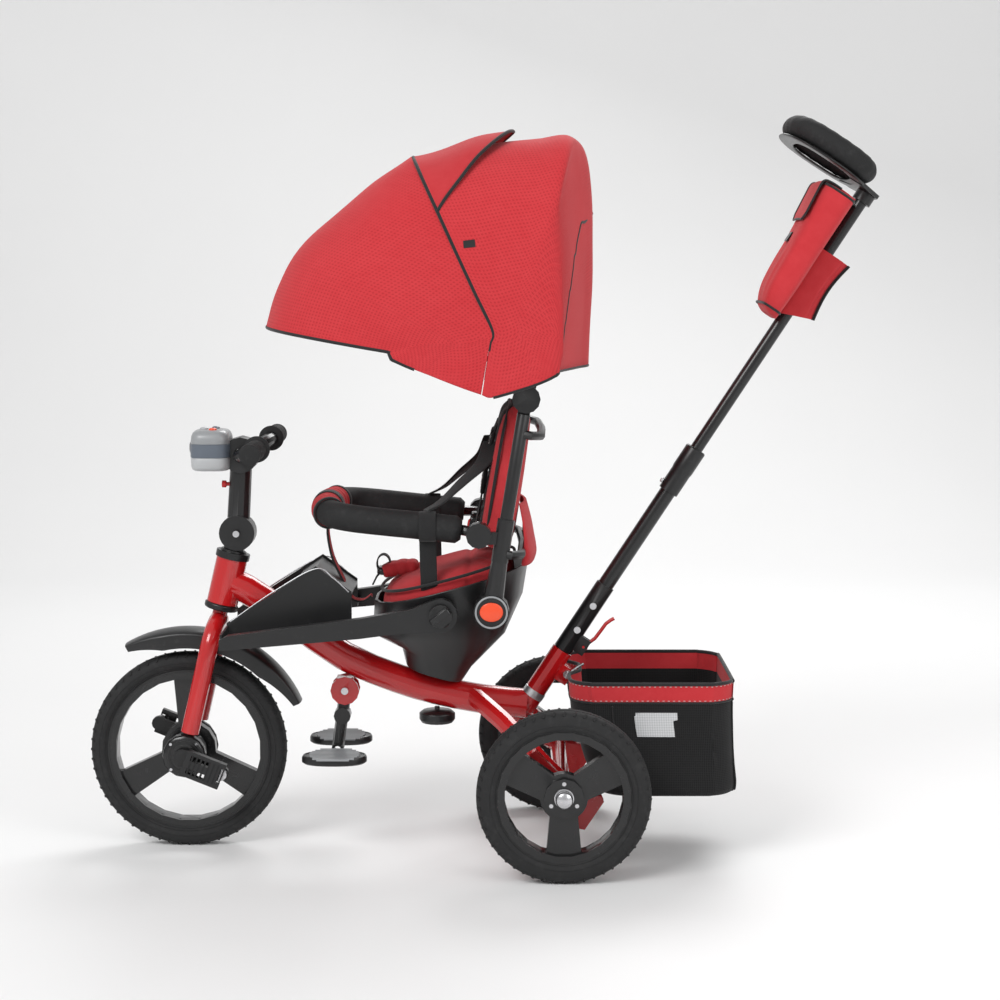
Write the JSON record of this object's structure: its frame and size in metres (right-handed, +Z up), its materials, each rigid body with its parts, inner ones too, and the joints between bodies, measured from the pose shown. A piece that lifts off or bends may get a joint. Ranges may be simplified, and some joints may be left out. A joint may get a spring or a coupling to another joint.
{
  "type": "tricycle",
  "caption": "Children's push tricycle with a fabric canopy, reclining padded seat, folding footrest, steerable parent handle, storage bag and rear basket.",
  "frame": {"origin": "on the ground, under the middle of the bounding box", "axes": "+Z up, the front wheel points along -X, the left side is -Y; the tricycle is symmetric about the XZ plane apart from its cranks"},
  "size_m": [1.1948, 0.498, 1.1116],
  "materials": {
    "black_fabric": "black woven polyester over a thin board",
    "black_plastic": "satin moulded black",
    "black_tube": "black powder-coated steel tube",
    "foam": "closed-cell foam sleeve",
    "grey_plastic": "light grey moulded plastic",
    "lens": "dark clear lens",
    "orange_plastic": "orange-red button plastic",
    "red_fabric": "red woven polyester",
    "red_paint": "glossy red enamel on steel tube",
    "red_plastic": "red moulded plastic",
    "steel": "plated steel",
    "tyre": "matte moulded tyre with treads"
  },
  "bodies": {
    "frame": {"main_frame": "red_paint", "headset_cup": "black_plastic", "rear_axle": "steel", "peg_bracket": "black_plastic", "seat_shell": "black_plastic", "seat_cushion": "red_fabric", "basket": "black_fabric"},
    "steering": {"fork": "red_paint", "fork_cover_left": "black_plastic", "fork_cover_right": "black_plastic", "front_fender": "black_plastic", "stem_joint": "black_plastic"},
    "handlebar": {"stem_post": "black_plastic", "handlebar_tube": "black_tube", "handlebar_grip_left": "foam", "handlebar_grip_right": "foam", "console": "grey_plastic", "console_lens": "lens"},
    "stem_lock_pin": {"stem_lock_pin": "red_plastic"},
    "front_wheel": {"front_tyre": "tyre", "front_rim": "black_plastic", "front_hub": "grey_plastic"},
    "cranks": {"crank_set": "black_plastic"},
    "pedal_spin_left": {"pedal_axle_left": "steel"},
    "pedal_spin_right": {"pedal_axle_right": "steel"},
    "pedal_fold_left": {"pedal_left": "black_plastic"},
    "pedal_fold_right": {"pedal_right": "black_plastic"},
    "rear_wheel_left": {"rear_tyre_left": "tyre", "rear_rim_left": "black_plastic"},
    "rear_wheel_right": {"rear_tyre_right": "tyre", "rear_rim_right": "black_plastic"},
    "brake_left": {"brake_lever_left": "red_plastic"},
    "brake_right": {"brake_lever_right": "red_plastic"},
    "seat_knob": {"seat_knob": "black_plastic"},
    "foot_pegs": {"peg_post": "red_paint", "peg_pads": "grey_plastic"},
    "footrest": {"footrest": "black_plastic"},
    "footrest_knob_left": {"footrest_knob_left": "black_plastic"},
    "footrest_knob_right": {"footrest_knob_right": "black_plastic"},
    "backrest": {"backrest_frame": "black_plastic", "backrest_cushion": "red_fabric"},
    "recline_button_left": {"recline_button_left": "orange_plastic"},
    "recline_button_right": {"recline_button_right": "orange_plastic"},
    "armrest": {"armrest_foam": "foam", "armrest_frame": "black_tube"},
    "canopy": {"canopy_frame": "black_plastic", "canopy_middle_bow": "black_tube", "canopy_cover": "red_fabric"},
    "canopy_front": {"canopy_front_bow": "black_tube", "canopy_visor": "red_fabric"},
    "push_handle": {"lower_pole": "black_tube", "pole_sleeve": "black_plastic", "pole_collar": "black_plastic"},
    "pole_lever": {"pole_lever": "red_plastic"},
    "height_button": {"height_button": "steel"},
    "socket_skewer": {"socket_skewer": "steel"},
    "upper_handle": {"upper_pole": "black_tube", "handle_grip": "foam", "handle_yoke": "black_plastic", "storage_bag": "red_fabric"}
  },
  "joints": [
    {"name": "steering_turn", "type": "hinge", "parent": "frame", "child": "steering", "pos_m": [-0.39652, 0, 0.36609], "axis": [0.2292, 0, 0.9734], "range_deg": [-35, 35]},
    {"name": "handlebar_fold", "type": "hinge", "parent": "steering", "child": "handlebar", "pos_m": [-0.36856, 0, 0.48484], "axis": [0, 1, 0], "range_deg": [-60, 0]},
    {"name": "stem_lock_press", "type": "slide", "parent": "handlebar", "child": "stem_lock_pin", "axis": [1, 0, 0], "range_m": [0, 0.003], "stiffness_N_per_m": 300},
    {"name": "front_wheel_spin", "type": "hinge", "parent": "steering", "child": "front_wheel", "pos_m": [-0.4474, 0, 0.15], "axis": [0, 1, 0], "continuous": true},
    {"name": "cranks_spin", "type": "hinge", "parent": "steering", "child": "cranks", "pos_m": [-0.4474, 0, 0.15], "axis": [0, 1, 0], "continuous": true},
    {"name": "pedal_spin_left_turn", "type": "hinge", "parent": "cranks", "child": "pedal_spin_left", "pos_m": [-0.38992, -0.0715, 0.12677], "axis": [0, 1, 0], "continuous": true},
    {"name": "pedal_spin_right_turn", "type": "hinge", "parent": "cranks", "child": "pedal_spin_right", "pos_m": [-0.50489, 0.0715, 0.17323], "axis": [0, 1, 0], "continuous": true},
    {"name": "pedal_fold_left_turn", "type": "hinge", "parent": "pedal_spin_left", "child": "pedal_fold_left", "pos_m": [-0.38992, -0.086, 0.12677], "axis": [0.3746, 0, 0.9272], "range_deg": [0, 90]},
    {"name": "pedal_fold_right_turn", "type": "hinge", "parent": "pedal_spin_right", "child": "pedal_fold_right", "pos_m": [-0.50489, 0.086, 0.17323], "axis": [0.3746, 0, 0.9272], "range_deg": [0, 90]},
    {"name": "rear_wheel_left_spin", "type": "hinge", "parent": "frame", "child": "rear_wheel_left", "pos_m": [0.1236, -0.215, 0.127], "axis": [0, 1, 0], "continuous": true},
    {"name": "rear_wheel_right_spin", "type": "hinge", "parent": "frame", "child": "rear_wheel_right", "pos_m": [0.1236, 0.215, 0.127], "axis": [0, 1, 0], "continuous": true},
    {"name": "brake_left_turn", "type": "hinge", "parent": "frame", "child": "brake_left", "pos_m": [0.1236, -0.148, 0.127], "axis": [0, 1, 0], "range_deg": [-12, 12]},
    {"name": "brake_right_turn", "type": "hinge", "parent": "frame", "child": "brake_right", "pos_m": [0.1236, 0.148, 0.127], "axis": [0, 1, 0], "range_deg": [-12, 12]},
    {"name": "seat_knob_turn", "type": "hinge", "parent": "frame", "child": "seat_knob", "pos_m": [-0.0664, 0, 0.2405], "axis": [0, 0, 1], "range_deg": [0, 180]},
    {"name": "foot_pegs_fold", "type": "hinge", "parent": "frame", "child": "foot_pegs", "pos_m": [-0.2064, 0, 0.2417], "axis": [0, 1, 0], "range_deg": [-60, 0]},
    {"name": "footrest_tilt", "type": "hinge", "parent": "frame", "child": "footrest", "pos_m": [-0.0556, 0, 0.3817], "axis": [0, 1, 0], "range_deg": [0, 15]},
    {"name": "footrest_knob_left_turn", "type": "hinge", "parent": "footrest", "child": "footrest_knob_left", "pos_m": [-0.0556, -0.155, 0.3817], "axis": [0, 1, 0], "range_deg": [0, 180]},
    {"name": "footrest_knob_right_turn", "type": "hinge", "parent": "footrest", "child": "footrest_knob_right", "pos_m": [-0.0556, 0.155, 0.3817], "axis": [0, 1, 0], "range_deg": [0, 180]},
    {"name": "backrest_recline", "type": "hinge", "parent": "frame", "child": "backrest", "pos_m": [0.0188, 0, 0.3896], "axis": [0, 1, 0], "range_deg": [0, 18]},
    {"name": "recline_button_left_press", "type": "slide", "parent": "backrest", "child": "recline_button_left", "axis": [0, 1, 0], "range_m": [0, 0.003], "stiffness_N_per_m": 300},
    {"name": "recline_button_right_press", "type": "slide", "parent": "backrest", "child": "recline_button_right", "axis": [0, -1, 0], "range_m": [0, 0.003], "stiffness_N_per_m": 300},
    {"name": "armrest_lift", "type": "hinge", "parent": "backrest", "child": "armrest", "pos_m": [0.0005, 0, 0.5006], "axis": [0, 1, 0], "range_deg": [0, 35]},
    {"name": "canopy_tilt", "type": "hinge", "parent": "backrest", "child": "canopy", "pos_m": [0.06911, 0, 0.69853], "axis": [0, 1, 0], "range_deg": [-15, 5]},
    {"name": "canopy_front_fold", "type": "hinge", "parent": "canopy", "child": "canopy_front", "pos_m": [0.04851, 0, 0.73763], "axis": [0, 1, 0], "range_deg": [0, 20], "deforming": ["canopy_visor"]},
    {"name": "push_handle_turn", "type": "hinge", "parent": "frame", "child": "push_handle", "pos_m": [0.079, 0, 0.2292], "axis": [0.5476, 0, 0.8368], "range_deg": [-35, 35]},
    {"name": "pole_lever_open", "type": "hinge", "parent": "push_handle", "child": "pole_lever", "pos_m": [0.15889, 0, 0.30838], "axis": [0, 1, 0], "range_deg": [0, 60]},
    {"name": "height_button_press", "type": "slide", "parent": "push_handle", "child": "height_button", "axis": [0.8368, 0, -0.5476], "range_m": [0, 0.0025], "stiffness_N_per_m": 300},
    {"name": "socket_skewer_turn", "type": "hinge", "parent": "frame", "child": "socket_skewer", "pos_m": [0.13428, 0, 0.26712], "axis": [0, 1, 0], "range_deg": [-40, 0]},
    {"name": "upper_handle_slide", "type": "slide", "parent": "push_handle", "child": "upper_handle", "axis": [0.5476, 0, 0.8368], "range_m": [-0.15, 0]}
  ],
  "couplings": [
    {"joint": "cranks_spin", "follows": "front_wheel_spin", "ratio": 1},
    {"joint": "push_handle_turn", "follows": "steering_turn", "ratio": 1}
  ]
}
